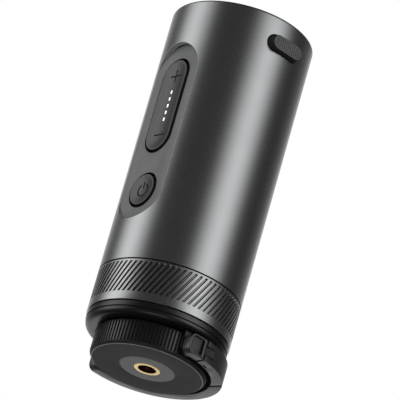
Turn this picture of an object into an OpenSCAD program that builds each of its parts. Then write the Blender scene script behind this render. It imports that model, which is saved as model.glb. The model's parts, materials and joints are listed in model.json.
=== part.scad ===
// Pocket-size cordless air pump: a satin metal tube with a control panel, a ribbed
// lock ring, a knurled screw cap with a tripod insert, and a folding hanging hook.
// The origin is the mouth of the tripod thread, +Z runs up the tube towards the air
// outlet, the control panel faces -Y and the charging port faces +X.

/* [Body tube] */
// Outer radius of the tube
body_r = 21.5; // [21.5:0.1:22.5]
// Wall of the tube
tube_wall = 1.5; // [1.3:0.1:1.6]
// Room between the fan and the tube's top, for the outlet and the charging socket
outlet_room = 14; // [13:0.1:16]
// Rounding of the tube's top edge
top_round = 2; // [1:0.25:2.5]
// Thickness of the tube's top lip
lip_t = 2.5; // [2:0.1:3]
// Width of the top lip inside the tube's wall
lip_w = 3.4; // [3.2:0.1:3.7]

/* [Control panel] */
// Depth of the flat below the tube's surface
flat_depth = 2; // [1.8:0.1:2.2]
// Panel beyond the power button, at the window's lower tip
panel_foot = 5; // [4.8:0.1:5.6]
// Panel beyond the rocker, at the window's upper tip
panel_end = 5.05; // [4.85:0.1:5.65]
// Height of the window's lower tip above the tube's lower edge
panel_rise = 13.6; // [12:0.2:15]
// Thickness of the panel
panel_t = 2; // [1.8:0.1:2.2]

/* [Buttons] */
// Width of the level rocker and of the power button
button_w = 10.4; // [9.8:0.1:10.8]
// Length of the level rocker
rocker_len = 30.3; // [29:0.1:31]
// Space between the rocker and the power button
button_space = 7.65; // [7.2:0.05:8.5]
// How far the rims stand proud of the panel
button_proud = 0.5; // [0.3:0.05:0.7]
// Depth of the dished faces
dish_depth = 0.5; // [0.3:0.05:0.6]
// Gap round each button
button_gap = 0.5; // [0.4:0.05:0.6]
// How far the buttons travel
button_travel = 0.5; // [0.4:0.05:0.5]
// Pitch of the level lights
light_pitch = 2.25; // [2.1:0.05:2.4]
// Width of a level light
light_w = 0.8; // [0.6:0.05:1]

/* [Charging port] */
// Width of the port plug's head
plug_w = 12.2; // [11.6:0.1:12.6]
// Height of the port plug's head
plug_h = 5; // [4.8:0.1:5.2]
// Thickness of the port plug's head
plug_t = 2.6; // [2.2:0.1:3]
// Distance from the tube's top down to the port's middle
port_drop = 8.5; // [8.3:0.1:8.9]

/* [Tail] */
// Length of the lock ring
ring_len = 12.9; // [12:0.1:14]
// Height of the base's lower band and bottom
base_h = 3.9; // [3.7:0.1:4.4]
// Radius of the base's bottom edge
base_round = 2.2; // [1.5:0.1:2.6]
// Wall of the inner sleeve
sleeve_wall = 0.9; // [0.8:0.05:1]
// How far the sleeve reaches into the tube
sleeve_reach = 8; // [7:0.5:10]

/* [Screw cap] */
// How far the cap's edge lies inside the tube's
cap_inset = 4; // [3.9:0.1:4.3]
// Height of the cap
cap_h = 7.9; // [7.7:0.1:8.3]
// Thickness of the cap's face
cap_face = 2.6; // [2.2:0.1:3]
// Wall of the cap round its screw joint
cap_wall = 3; // [2.8:0.1:3.6]
// Radius of the inlaid pad
pad_r = 8.3; // [7.8:0.1:9]
// Thickness of the inlaid pad
pad_t = 1; // [0.8:0.1:1.2]
// Outer radius of the tripod insert
insert_r = 3.95; // [3.8:0.05:4.2]
// Bore radius of the tripod insert
insert_bore_r = 2.6; // [2.5:0.05:2.7]
// Length of the tripod insert
insert_len = 6.5; // [6:0.1:7]

/* [Hanging hook] */
// Thickness of the hook
hook_w = 3.3; // [3.1:0.05:3.4]
// How far the hook stands proud of the tube
hook_proud = 0.75; // [0.5:0.05:1.1]
// Height of the hook
hook_h = 6.2; // [6:0.1:6.5]
// Height of the hook's underside above the cap's face
hook_z0 = 1.15; // [1:0.05:1.3]
// How far the pivot axis lies in front of the tube's axis
pivot_front = 1.3; // [1:0.1:1.6]
// Radius of the pivot pins
pivot_r = 1.2; // [1:0.1:1.4]
// Angle of the gate's hinge round the hook
gate_a = 50; // [48:1:52]
// Width of the cut between the hook and its gate
gate_cut = 0.85; // [0.8:0.05:1]
// Radius of the gate's hinge barrel
barrel_r = 1.1; // [1:0.05:1.15]
// Width of the latch tongue
tongue_h = 2.5; // [2.2:0.1:2.8]
// Length of the latch tongue
tongue_len = 3.7; // [3.4:0.1:4]

/* [Air path] */
// How far the fan's axis lies behind the tube's axis
fan_back = 2; // [1.8:0.1:2.2]
// Running gap between the impeller and its housing
impeller_gap = 1; // [0.8:0.1:1.4]
// Height of the impeller
impeller_h = 8; // [7.5:0.1:8.2]
// Number of impeller blades
blade_count = 9; // [7:1:11]
// Length of the fan housing
fan_len = 15; // [14.6:0.1:15.4]
// Width of the plate between the nozzle and the top lip, where it is narrowest
outlet_band = 6.7; // [6.4:0.1:7.2]
// Wall of the outlet nozzle
nozzle_wall = 1.9; // [1.5:0.1:2.3]
// Height of the nozzle above the tube's top
nozzle_proud = 4.4; // [3:0.1:5]
// Number of intake slots
slot_count = 18; // [12:1:20]

/* [Motor and battery] */
// Radius of the motor
motor_r = 7.5; // [7.2:0.1:7.6]
// Length of the motor
motor_len = 13; // [12.5:0.1:13.4]
// Radius of the motor shaft
shaft_r = 1; // [0.9:0.05:1.1]
// Clearance on each side of a battery cell
cell_gap = 0.15; // [0.15:0.05:0.35]
// Length of a battery cell
cell_len = 50; // [48:0.5:50.5]

/* [Clearances] */
// Radial clearance of the turning fits
run_gap = 0.05; // [0.04:0.01:0.06]
// Clearance between fixed pieces that fit together
fit_gap = 0.1; // [0.08:0.01:0.12]
// Gap between pieces that move past each other
move_gap = 0.3; // [0.25:0.01:0.32]

/* [Hidden] */
$fn = 96;

base_z = cap_h + move_gap;
ring_z = base_z + base_h + fit_gap;
tube_z = ring_z + ring_len + fit_gap;
bore_r = body_r - tube_wall;
lip_r = bore_r - lip_w;

panel_y = body_r - flat_depth;
panel_edge = 0.0554;
panel_hw = sqrt(body_r * body_r - panel_y * panel_y) - panel_edge;
panel_z = tube_z + panel_rise;
button_hw = button_w / 2;
power_z = panel_z + panel_foot + button_hw;
rocker_z = power_z + button_hw + button_space + rocker_len / 2;
panel_len = rocker_z + rocker_len / 2 + panel_end - panel_z;
hole_hw = button_hw + button_gap;
rim_y = panel_y + button_proud;
button_t = 3.3;
button_back_y = rim_y - button_t;
dish_edge = 0.6;
dish_hw = button_hw - dish_edge;
dish_r = (dish_hw * dish_hw + dish_depth * dish_depth) / (2 * dish_depth);
rocker_straight = rocker_len / 2 - button_hw;
axle_r = 0.6;
axle_y = button_back_y + axle_r + 0.3;
axle_len = 2 * button_hw + 2.4;
light_h = 1.4;
light_count = 5;

switch_t = 1.7;
switch_w = 4.2;
plunger_t = 0.9;
plunger_r = 1.1;
rocker_switch_dz = 11;
board_t = 1.2;
board_y = button_back_y - button_travel - 0.05 - switch_t;
board_back_y = board_y - board_t;
board_hw = panel_hw - 0.7;
board_rise = 3.2;
post_x = panel_hw - 1.8;
post_r = 1.05;
cheek_t = 1.1;
cheek_gap = 0.02;
led_w = 1;
led_t = 0.6;
board_screw_r = 0.55;
board_screw_len = board_t + 2;
board_head_r = 0.95;
board_head_h = 0.4;
post_zs = [panel_z + 4.6, rocker_z - rocker_len / 2 - 4.45, panel_z + panel_len - 3.9];

port_floor_x = sqrt(body_r * body_r - plug_w * plug_w / 4) - 0.1;
stem_w = 8.2;
stem_h = 2.2;
stem_len = 4.4;
usb_w = 9;
usb_h = 3.2;
usb_len = 7.3;
usb_wall = 0.3;
usb_mouth_x = port_floor_x - 1.2;

cap_r = body_r - cap_inset;
cap_thread_r = cap_r - cap_wall;
sleeve_inset = 2.1;
sleeve_r = body_r - sleeve_inset;
sleeve_bore_r = sleeve_r - sleeve_wall;
ring_bore_r = sleeve_r + run_gap;
sleeve_top = tube_z + sleeve_reach;
flange_t = 2;
flange_hole_r = 8;
band_r = body_r - 0.25;
base_screw_r = 0.9;
base_head_r = 1.7;
base_screw_pitch_r = cap_thread_r + base_head_r + fit_gap;
base_head_h = 1.2;
spigot_wall = 1.6;
spigot_drop = cap_h - cap_face - 0.6;

seal_t = 0.6;
hook_ro = body_r + hook_proud;
hook_ri = hook_ro - hook_w;
hook_mid = hook_z0 + hook_h / 2;
ear_x = hook_ri;
lug_t = 1.1;
lug_x = ear_x - 0.15 - lug_t;
lug_r = hook_h / 2 - 0.1;
ear_front = 3;
ear_corner = 2.1;
ear_end_y = 1.9;
ear_recess = 0.8;
ear_rim = 0.65;
ear_groove_w = 0.4;
tongue_end = ear_end_y + tongue_len;
gate_end_y = ear_end_y + 0.55;
barrel_c_r = hook_ro - barrel_r - 0.25;
barrel_x = barrel_c_r * cos(gate_a);
barrel_y = barrel_c_r * sin(gate_a);
cut_turn = 11;
cut_rise = 1.1;
knuckle_h = 3;
knuckle_z0 = hook_mid - knuckle_h / 2;
knuckle_z1 = hook_mid + knuckle_h / 2;
knuckle_room_r = barrel_r + 0.8;
neck_w = 1.8;
pin_r = 0.45;
notch_len = 1.9;
notch_w = 0.7;
notch_depth = 0.5;

tray_t = 2;
contact_t = 0.2;
contact_r = 3.4;
strap_w = 3;
cell_r = sleeve_bore_r / 2 - cell_gap;
cell_x = sleeve_bore_r / 2;
nub_r = 3;
nub_h = 0.8;
tray_z = ring_z + flange_t;
cell_z = tray_z + tray_t + contact_t;
frame_z = cell_z + cell_len + contact_t;
frame_t = 1.6;
frame_hole_r = 3;
frame_front_y = board_back_y - 1.25;
motor_gap = 0.8;
motor_z = frame_z + frame_t + motor_gap;
fan_z = motor_z + motor_len;
fan_wall = 1.2;
fan_room = 1.05;
fan_r = board_back_y + fan_back - fan_room;
fan_bore_r = fan_r - fan_wall;
impeller_r = fan_bore_r - impeller_gap;
eye_in_r = motor_r + 0.9;
eye_out_r = impeller_r - 1.2;
spoke_w = 2;
impeller_z = fan_z + fan_wall + 1;
hub_r = 2.4;
plate_t = 1.2;
cover_z = fan_z + fan_len - fan_wall;
top_z = fan_z + fan_len + outlet_room;
port_z = top_z - port_drop;
vane_h = cover_z - impeller_z - impeller_h - 0.6;
vane_count = 8;
end_t = 1.2;
can_wall = 0.8;
bearing_r = 2.5;
bearing_t = 1.8;
stator_in_r = 4.9;
rotor_r = 4.5;
motor_screw_r = 0.7;
motor_screw_pitch_r = 5;

plate_flange_t = 3;
plate_z = top_z - lip_t - plate_flange_t;
plate_recess = 0.8;
plate_top = top_z - plate_recess;
nozzle_top = top_z + nozzle_proud;
nozzle_r = lip_r - fan_back - outlet_band;
nozzle_bore_r = nozzle_r - nozzle_wall;
nozzle_foot_r = nozzle_r + 0.5;
nozzle_flange_r = nozzle_r + 2;
nozzle_flange_t = 1.2;
slot_in_r = nozzle_r + 2.6;
slot_out_r = lip_r - fan_back - 1.2;
slot_w = 1.5;
mesh_t = 0.6;
plate_screw_angles = [45, 135, 225, 315];
plate_screw_r = 0.8;
plate_head_r = 1.3;
plate_head_h = 0.8;
plate_screw_pitch_r = lip_r + plate_head_r + 0.3;

// A stadium standing in the XZ plane, from depth y_in out to depth y_out in front
module pill(hw, half_len, zc, y_in, y_out) {
    translate([0, -y_in, zc]) rotate([90, 0, 0]) linear_extrude(y_out - y_in) {
        square([2 * hw, 2 * (half_len - hw)], center = true);
        for (s = [-1, 1]) translate([0, s * (half_len - hw)]) circle(hw);
    }
}

// A cylinder along Y at height zc, from depth y_in out to depth y_out in front
module button_post(r, zc, y_in, y_out) {
    translate([0, -y_in, zc]) rotate([90, 0, 0]) cylinder(r = r, h = y_out - y_in);
}

// A cylinder along Z between two heights
module post(r, z0, z1) {
    translate([0, 0, z0]) cylinder(r = r, h = z1 - z0);
}

// A ring along Z between two heights
module ring(r_out, r_in, z0, z1) {
    difference() {
        post(r_out, z0, z1);
        post(r_in, z0 - 1, z1 + 1);
    }
}

// A cylinder along X between two places
module axle(r, x0, x1) {
    translate([x0, 0, 0]) rotate([0, 90, 0]) cylinder(r = r, h = x1 - x0);
}

// Places its children on the fan's axis
module on_fan_axis() {
    translate([0, fan_back, 0]) children();
}

// Places its children on the hook's pivot axis
module on_pivot() {
    translate([0, -pivot_front, hook_mid]) children();
}

// A countersunk screw with its head at height z, reaching up, or its hole with some clearance
module countersunk(r, head_r, head_h, z, len, gap = 0) {
    post(r + gap, z, z + len);
    translate([0, 0, z]) cylinder(r1 = head_r + gap, r2 = r + gap, h = head_h);
}

// The same screw or hole with its head up, reaching down from height z
module countersunk_top(r, head_r, head_h, z, len, gap = 0) {
    translate([0, 0, z]) mirror([0, 0, 1]) countersunk(r, head_r, head_h, 0, len, gap);
}

// ---------------------------------------------------------------- body shells

module body_tube() {
    color("#6f7173") difference() {
        rotate_extrude() difference() {
            union() {
                square_between(bore_r, body_r, tube_z, top_z - top_round);
                square_between(lip_r, body_r - top_round, top_z - lip_t, top_z);
                intersection() {
                    translate([body_r - top_round, top_z - top_round]) circle(top_round);
                    square_between(0, body_r, top_z - top_round, top_z);
                }
                square_between(lip_r, bore_r + 0.1, top_z - lip_t, top_z - top_round + 0.1);
            }
            square_between(0, bore_r, 0, top_z - lip_t);
        }
        pill(panel_hw, panel_len / 2, panel_z + panel_len / 2, panel_y - 6, body_r + 1);
        port_cut();
        for (a = plate_screw_angles) rotate([0, 0, a])
            translate([plate_screw_pitch_r, 0, 0])
                countersunk_top(plate_screw_r, plate_head_r, plate_head_h, top_z, lip_t + 1, fit_gap);
    }
}

module square_between(x0, x1, y0, y1) {
    translate([x0, y0]) square([x1 - x0, y1 - y0]);
}

// Seat and stem hole of the port plug
module port_cut() {
    plug_block(plug_w + 0.5, plug_h + 0.5, port_floor_x, body_r + 2);
    plug_block(usb_w + 0.4, usb_h + 0.4, port_floor_x - 4, port_floor_x + 1);
}

// A stadium standing in the YZ plane at the port's height
module plug_block(w, h, x0, x1) {
    translate([x0, 0, port_z]) rotate([90, 0, 90]) linear_extrude(x1 - x0) {
        square([w - h, h], center = true);
        for (s = [-1, 1]) translate([s * (w - h) / 2, 0]) circle(h / 2);
    }
}

module control_panel() {
    color("#5f6163") difference() {
        union() {
            pill(panel_hw - fit_gap, panel_len / 2 - fit_gap, panel_z + panel_len / 2,
                 panel_y - panel_t, panel_y);
            for (z = post_zs, s = [-1, 1])
                translate([s * post_x, -board_y, z]) rotate([90, 0, 0])
                    cylinder(r = post_r, h = panel_y - panel_t - board_y + 0.1);
            for (s = [-1, 1]) axle_bearing(s);
        }
        pill(hole_hw, rocker_len / 2 + button_gap, rocker_z, board_y - 1, panel_y + 1);
        button_post(hole_hw, power_z, board_y - 1, panel_y + 1);
        for (z = post_zs, s = [-1, 1])
            translate([s * post_x, -board_y + 1, z]) rotate([90, 0, 0])
                cylinder(r = board_screw_r + 0.02, h = board_screw_len - board_t + 1.4);
        translate([0, -axle_y, rocker_z]) axle(axle_r + run_gap, -panel_hw, panel_hw);
    }
}

// One of the two cheeks that carry the rocker's axle
module axle_bearing(s) {
    cheek_x = hole_hw + cheek_gap;
    translate([s > 0 ? cheek_x : -cheek_x - cheek_t, -panel_y + panel_t - 0.1, rocker_z - 2])
        cube([cheek_t, 1.4, 4]);
}

module tail_sleeve() {
    color("#2b2c2e") difference() {
        union() {
            ring(sleeve_r, sleeve_bore_r, ring_z, sleeve_top);
            ring(bore_r - fit_gap, sleeve_bore_r, tube_z + fit_gap, sleeve_top);
            ring(sleeve_bore_r + 0.2, flange_hole_r, ring_z, ring_z + flange_t);
        }
        rotate_extrude() translate([bore_r - seal_t, sleeve_top - 3]) square([2, 1.4]);
        base_screw_places() post(base_screw_r + 0.02, ring_z - 1, ring_z + flange_t + 1);
    }
}

module base_screw_places() {
    for (a = [45, 135, 225, 315]) rotate([0, 0, a]) translate([base_screw_pitch_r, 0, 0]) children();
}

module base_plate() {
    spigot_z = base_z - spigot_drop;
    color("#3a3b3d") difference() {
        union() {
            rotate_extrude() {
                square_between(cap_thread_r - spigot_wall, band_r - base_round, base_z, ring_z - fit_gap);
                square_between(cap_thread_r - spigot_wall, band_r, base_z + base_round, ring_z - fit_gap);
                intersection() {
                    translate([band_r - base_round, base_z + base_round]) circle(base_round);
                    square_between(0, band_r, base_z, base_z + base_round);
                }
            }
            ring(cap_thread_r - run_gap, cap_thread_r - spigot_wall, spigot_z, base_z + 1);
            for (s = [0, 1]) mirror([s, 0, 0]) hook_lug();
        }
        base_screw_places() countersunk(base_screw_r, base_head_r, base_head_h, base_z, base_h + 1, fit_gap);
        on_pivot() for (s = [0, 1]) mirror([s, 0, 0]) axle(pivot_r + 0.01, lug_x - 1, lug_x + lug_t + 1);
    }
}

// The lug inside the hook's ear, rounded about the pivot and joined to the base above
module hook_lug() {
    on_pivot() {
        axle(lug_r, lug_x, lug_x + lug_t);
        translate([lug_x, -lug_r, 0]) cube([lug_t, 2 * lug_r, base_z - hook_mid + 0.6]);
    }
}

module hook_pivots() {
    color("#8a8c8e") on_pivot() for (s = [0, 1]) mirror([s, 0, 0]) {
        axle(pivot_r, lug_x + 0.02, hook_ro - ear_recess - 0.3);
    }
}

module base_screws() {
    color("#c0c2c4") base_screw_places()
        countersunk(base_screw_r, base_head_r, base_head_h, base_z, base_h + fit_gap + flange_t - 0.2);
}

module tube_seal() {
    color("#151515") ring(bore_r - 0.02, bore_r - seal_t, sleeve_top - 2.9, sleeve_top - 1.7);
}

// ---------------------------------------------------------------- outlet end

module outlet_plate() {
    color("#2a2b2d") difference() {
        union() {
            post(bore_r - fit_gap, plate_z, plate_z + plate_flange_t);
            post(lip_r - fit_gap, plate_z, plate_top);
        }
        on_fan_axis() {
            post(nozzle_foot_r + 0.02, plate_z - 1, top_z + 1);
            for (i = [0:slot_count - 1]) rotate([0, 0, i * 360 / slot_count])
                translate([slot_in_r, -slot_w / 2, plate_z - 1])
                    cube([slot_out_r - slot_in_r, slot_w, top_z - plate_z + 2]);
        }
        for (a = plate_screw_angles) rotate([0, 0, a])
            translate([plate_screw_pitch_r, 0, 0]) post(plate_screw_r + 0.02, plate_z + 0.6, top_z);
    }
}

module outlet_screws() {
    color("#c0c2c4") for (a = plate_screw_angles) rotate([0, 0, a])
        translate([plate_screw_pitch_r, 0, 0])
            countersunk_top(plate_screw_r, plate_head_r, plate_head_h, top_z, top_z - plate_z - 0.8);
}

module outlet_nozzle() {
    color("#202123") on_fan_axis() difference() {
        union() {
            post(nozzle_r, cover_z + fan_wall, nozzle_top);
            post(nozzle_foot_r, cover_z + fan_wall, plate_top);
            post(nozzle_flange_r, cover_z + fan_wall, cover_z + fan_wall + nozzle_flange_t);
        }
        post(nozzle_bore_r, cover_z, nozzle_top + 1);
    }
}

module intake_mesh() {
    color("#4a4c4e") on_fan_axis()
        ring(slot_out_r + 0.6, slot_in_r - 0.6, plate_z - mesh_t, plate_z);
}

// ---------------------------------------------------------------- fan and motor

module fan_housing() {
    color("#d8d8d4") on_fan_axis() difference() {
        union() {
            ring(fan_r, fan_bore_r, fan_z, cover_z);
            difference() {
                post(fan_bore_r + 0.1, fan_z, fan_z + fan_wall);
                difference() {
                    ring(eye_out_r, eye_in_r, fan_z - 1, fan_z + fan_wall + 1);
                    for (a = [0, 90]) rotate([0, 0, a])
                        translate([-fan_r, -spoke_w / 2, fan_z - 1]) cube([2 * fan_r, spoke_w, fan_wall + 2]);
                }
            }
        }
        post(bearing_r + 0.5, fan_z - 1, fan_z + fan_wall + 1);
        motor_screw_places() post(motor_screw_r + fit_gap, fan_z - 1, fan_z + fan_wall + 1);
    }
}

module motor_screw_places() {
    for (a = [45, 225]) rotate([0, 0, a]) translate([motor_screw_pitch_r, 0, 0]) children();
}

module fan_cover() {
    color("#c9c9c5") on_fan_axis() {
        ring(fan_r, nozzle_bore_r, cover_z, cover_z + fan_wall);
        for (i = [0:vane_count - 1]) rotate([0, 0, i * 360 / vane_count])
            translate([nozzle_bore_r + 0.6, 0, cover_z - vane_h]) rotate([0, 0, 25])
                cube([fan_bore_r - nozzle_bore_r - 1.6, 0.8, vane_h + 0.1]);
    }
}

module impeller() {
    blade_t = 0.7;
    blade_z = impeller_z;
    color("#1d1e20") on_fan_axis() {
        difference() {
            union() {
                post(hub_r, impeller_z, impeller_z + impeller_h);
                post(impeller_r, impeller_z + impeller_h - plate_t, impeller_z + impeller_h);
                for (i = [0:blade_count - 1]) rotate([0, 0, i * 360 / blade_count]) intersection() {
                    translate([hub_r - 0.5, 0, blade_z]) rotate([0, 0, 30])
                        cube([impeller_r, blade_t, impeller_h - 0.1]);
                    post(impeller_r - 0.3, blade_z, impeller_z + impeller_h);
                }
            }
            post(shaft_r, impeller_z - 1, impeller_z + impeller_h + 1);
        }
    }
}

module motor_can() {
    color("#9a9c9e") on_fan_axis() difference() {
        post(motor_r, motor_z, fan_z);
        post(motor_r - can_wall, motor_z + end_t, fan_z - end_t);
        post(bearing_r, motor_z - 1, motor_z + bearing_t);
        post(bearing_r, fan_z - bearing_t, fan_z + 1);
        motor_screw_places() post(motor_screw_r, fan_z - end_t - 0.5, fan_z + 1);
    }
}

module motor_bearings() {
    color("#d0d2d4") on_fan_axis() for (z = [motor_z, fan_z - bearing_t])
        ring(bearing_r, shaft_r + run_gap, z, z + bearing_t);
}

module motor_stator() {
    color("#b5652a") on_fan_axis()
        ring(motor_r - can_wall, stator_in_r, motor_z + end_t + 1, fan_z - end_t - 1);
}

module rotor_magnet() {
    color("#4c4e52") on_fan_axis()
        ring(rotor_r, shaft_r, motor_z + bearing_t + 0.6, fan_z - bearing_t - 0.6);
}

module motor_shaft() {
    color("#cfd1d3") on_fan_axis() post(shaft_r, motor_z + 0.2, impeller_z + impeller_h - 0.2);
}

module motor_screws() {
    color("#c0c2c4") on_fan_axis() motor_screw_places() {
        post(motor_screw_r - 0.02, fan_z - end_t + 0.1, fan_z + fan_wall);
        post(motor_screw_r + 0.5, fan_z + fan_wall, fan_z + fan_wall + 0.5);
    }
}

// ---------------------------------------------------------------- battery

module cell_places() {
    for (s = [-1, 1]) translate([s * cell_x, 0, 0]) children();
}

module battery_cells() {
    color("#2f6fb0") cell_places() {
        post(cell_r, cell_z, cell_z + cell_len - nub_h);
        post(nub_r, cell_z + cell_len - nub_h - 0.1, cell_z + cell_len);
    }
}

module battery_tray() {
    color("#e3e2dc") difference() {
        post(sleeve_bore_r - fit_gap, tray_z, tray_z + tray_t);
        post(flange_hole_r - 3, tray_z - 1, tray_z + tray_t + 1);
        base_screw_places() post(base_screw_r + 0.3, tray_z - 1, tray_z + tray_t + 1);
    }
}

module battery_frame() {
    color("#e3e2dc") difference() {
        post(bore_r - 0.2, frame_z, frame_z + frame_t);
        translate([-bore_r, -bore_r - 1, frame_z - 1])
            cube([2 * bore_r, bore_r + 1 - frame_front_y, frame_t + 2]);
        post(frame_hole_r, frame_z - 1, frame_z + frame_t + 1);
    }
}

module battery_contacts() {
    color("#d9c27a") {
        cell_places() for (z = [cell_z - contact_t, cell_z + cell_len])
            post(contact_r, z, z + contact_t);
        translate([-cell_x, -strap_w / 2, cell_z - contact_t]) cube([2 * cell_x, strap_w, contact_t]);
    }
}

// ---------------------------------------------------------------- electronics

module control_board() {
    board_z0 = panel_z + board_rise;
    board_z1 = panel_z + panel_len - 2.6;
    color("#1f5b3a") difference() {
        translate([-board_hw, -board_y, board_z0]) cube([2 * board_hw, board_t, board_z1 - board_z0]);
        for (z = post_zs, s = [-1, 1]) translate([s * post_x, -board_y + 2, z]) rotate([90, 0, 0])
            cylinder(r = board_screw_r + fit_gap, h = 3);
    }
}

module board_screws() {
    color("#c0c2c4") for (z = post_zs, s = [-1, 1])
        translate([s * post_x, -board_y + board_t, z]) rotate([90, 0, 0]) {
            cylinder(r = board_screw_r, h = board_screw_len);
            translate([0, 0, -board_head_h]) cylinder(r = board_head_r, h = board_head_h);
        }
}

module tact_switches() {
    case_t = switch_t - plunger_t;
    color("#333538") for (z = [power_z, rocker_z - rocker_switch_dz, rocker_z + rocker_switch_dz]) {
        translate([-switch_w / 2, -board_y - case_t, z - switch_w / 2]) cube([switch_w, case_t, switch_w]);
        translate([0, -board_y - 0.1, z]) rotate([90, 0, 0]) cylinder(r = plunger_r, h = switch_t - 0.1);
    }
}

module light_places() {
    for (i = [0:light_count - 1])
        translate([0, 0, rocker_z + (i - (light_count - 1) / 2) * light_pitch]) children();
}

module level_leds() {
    color("#f5f3e6") light_places()
        translate([-led_w / 2, -board_y - led_t, -led_w / 2]) cube([led_w, led_t, led_w]);
}

module usb_socket() {
    color("#b9bbbd") difference() {
        plug_block(usb_w, usb_h, usb_mouth_x - usb_len, usb_mouth_x);
        plug_block(usb_w - 2 * usb_wall, usb_h - 2 * usb_wall, usb_mouth_x - usb_len + 0.8, usb_mouth_x + 1);
    }
}

module usb_board() {
    usb_board_w = usb_w + 2;
    usb_board_t = 1;
    usb_board_x = usb_mouth_x - usb_len - 1;
    color("#1f5b3a") translate([usb_board_x, -usb_board_w / 2, port_z - usb_h / 2 - usb_board_t])
        cube([usb_len + 0.6, usb_board_w, usb_board_t]);
}

// ---------------------------------------------------------------- buttons

module level_rocker() {
    color("#5a5c5e") difference() {
        pill(button_hw, rocker_len / 2, rocker_z, button_back_y, rim_y);
        for (s = [-1, 1]) translate([0, -(rim_y - dish_depth + dish_r), rocker_z + s * rocker_straight])
            sphere(dish_r, $fn = 128);
        translate([0, -(rim_y - dish_depth + dish_r), rocker_z])
            cylinder(r = dish_r, h = 2 * rocker_straight, center = true, $fn = 128);
        light_places() light_hole();
        translate([0, -axle_y, rocker_z]) axle(axle_r, -panel_hw, panel_hw);
    }
}

module light_hole() {
    translate([0, -button_back_y + 1, 0]) rotate([90, 0, 0]) linear_extrude(button_t + 2) light_outline();
}

module light_outline() {
    square([light_w, light_h - light_w], center = true);
    for (s = [-1, 1]) translate([0, s * (light_h - light_w) / 2]) circle(light_w / 2, $fn = 32);
}

module level_lights() {
    color("#f2f2f0") light_places() {
        translate([0, -axle_y - axle_r - 0.1, 0]) rotate([90, 0, 0])
            linear_extrude(rim_y - dish_depth + 0.1 - axle_y - axle_r - 0.1) light_outline();
    }
}

module rocker_axle() {
    color("#c0c2c4") translate([0, -axle_y, rocker_z]) axle(axle_r, -axle_len / 2, axle_len / 2);
}

module power_button() {
    color("#5a5c5e") difference() {
        union() {
            button_post(button_hw, power_z, button_back_y, rim_y);
            button_post(button_hw + button_gap + 0.6, power_z, button_back_y, panel_y - panel_t - 0.05);
        }
        translate([0, -(rim_y - dish_depth + dish_r), power_z]) sphere(dish_r, $fn = 128);
    }
}

module port_plug() {
    color("#161617") {
        plug_block(plug_w, plug_h, port_floor_x + 0.02, port_floor_x + plug_t);
        plug_block(stem_w, stem_h, port_floor_x - stem_len, port_floor_x + 0.5);
    }
}

// ---------------------------------------------------------------- tail pieces that move

module grip_ring() {
    color("#77797b") ring(body_r, ring_bore_r, ring_z, ring_z + ring_len);
}

module screw_cap() {
    color("#333436") difference() {
        post(cap_r, 0, cap_h);
        post(cap_thread_r, cap_face, cap_h + 1);
        post(pad_r, -1, pad_t);
        post(insert_r, -1, cap_face + 1);
    }
    color("#333436") ring(insert_r + 1.6, insert_r, cap_face - 0.1, insert_len);
}

module cap_pad() {
    color("#7d7f80") ring(pad_r, insert_r, 0, pad_t);
}

module tripod_insert() {
    color("#c9a45a") ring(insert_r, insert_bore_r, 0, insert_len);
}

module cap_seal() {
    color("#121212") ring(cap_thread_r + 1.3, cap_thread_r + 0.2, cap_h, cap_h + move_gap - 0.05);
}

// The hook's flat ring, without its ends
module hook_stock() {
    ring(hook_ro, hook_ri, hook_z0, hook_z0 + hook_h);
}

// Everything on the gate's side of the slanted cut, moved out by a distance
module gate_side(offset_y) {
    translate([barrel_x, barrel_y, 0]) rotate([0, 0, cut_turn])
        translate([-20, cut_rise - 60 + offset_y, -5]) cube([60, 60, 30]);
}

// A post on the gate's hinge axis
module barrel(r, z0, z1) {
    translate([barrel_x, barrel_y, 0]) post(r, z0, z1);
}

// The ear's outline in the YZ plane about the pivot, moved in by a rim
module ear_outline(rim, y_end) {
    front = ear_front - rim;
    half = hook_h / 2 - rim;
    round_r = ear_corner - rim;
    for (s = [-1, 1]) translate([round_r - front, s * (half - round_r)]) circle(round_r);
    square_between(-front, y_end, round_r - half, half - round_r);
    square_between(round_r - front, y_end, -half, half);
}

// An ear's outline drawn out along X
module ear_block(rim, y_end, x0, x1) {
    on_pivot() translate([x0, 0, 0]) rotate([90, 0, 90]) linear_extrude(x1 - x0) ear_outline(rim, y_end);
}

// The dished face of an ear, the groove at its back and its pivot hole
module ear_cuts() {
    recess_end = pivot_front + 0.5;
    ear_block(ear_rim, recess_end, hook_ro - ear_recess, hook_ro + 1);
    on_pivot() {
        translate([hook_ro - 2 * ear_recess, recess_end, ear_rim - hook_h / 2])
            cube([5, ear_groove_w, hook_h - 2 * ear_rim]);
        axle(pivot_r + run_gap, ear_x - 1, hook_ro - ear_recess - 0.2);
    }
}

module hook_arc() {
    color("#606264") difference() {
        union() {
            difference() {
                hook_stock();
                translate([-50, -50, -5]) cube([100, 50, 30]);
                gate_side(gate_cut / 2);
            }
            mirror([1, 0, 0]) ear_block(0, pivot_front + 1, ear_x, hook_ro);
            intersection() {
                union() {
                    barrel(barrel_r, knuckle_z0, knuckle_z1);
                    translate([barrel_x, barrel_y, knuckle_z0]) rotate([0, 0, cut_turn])
                        translate([-neck_w / 2, 0, 0]) cube([neck_w, cut_rise + 1, knuckle_h]);
                }
                post(hook_ro - 0.1, 0, base_z);
            }
        }
        mirror([1, 0, 0]) ear_cuts();
        barrel(pin_r + run_gap, hook_z0 - 1, hook_z0 + hook_h + 1);
    }
}

module hook_nose() {
    color("#606264") difference() {
        union() {
            ear_block(0, ear_end_y + pivot_front, ear_x, hook_ro);
            translate([ear_x, 0, hook_mid - tongue_h / 2])
                cube([hook_ro - ear_x - 0.4, tongue_end, tongue_h]);
        }
        ear_cuts();
    }
}

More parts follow.
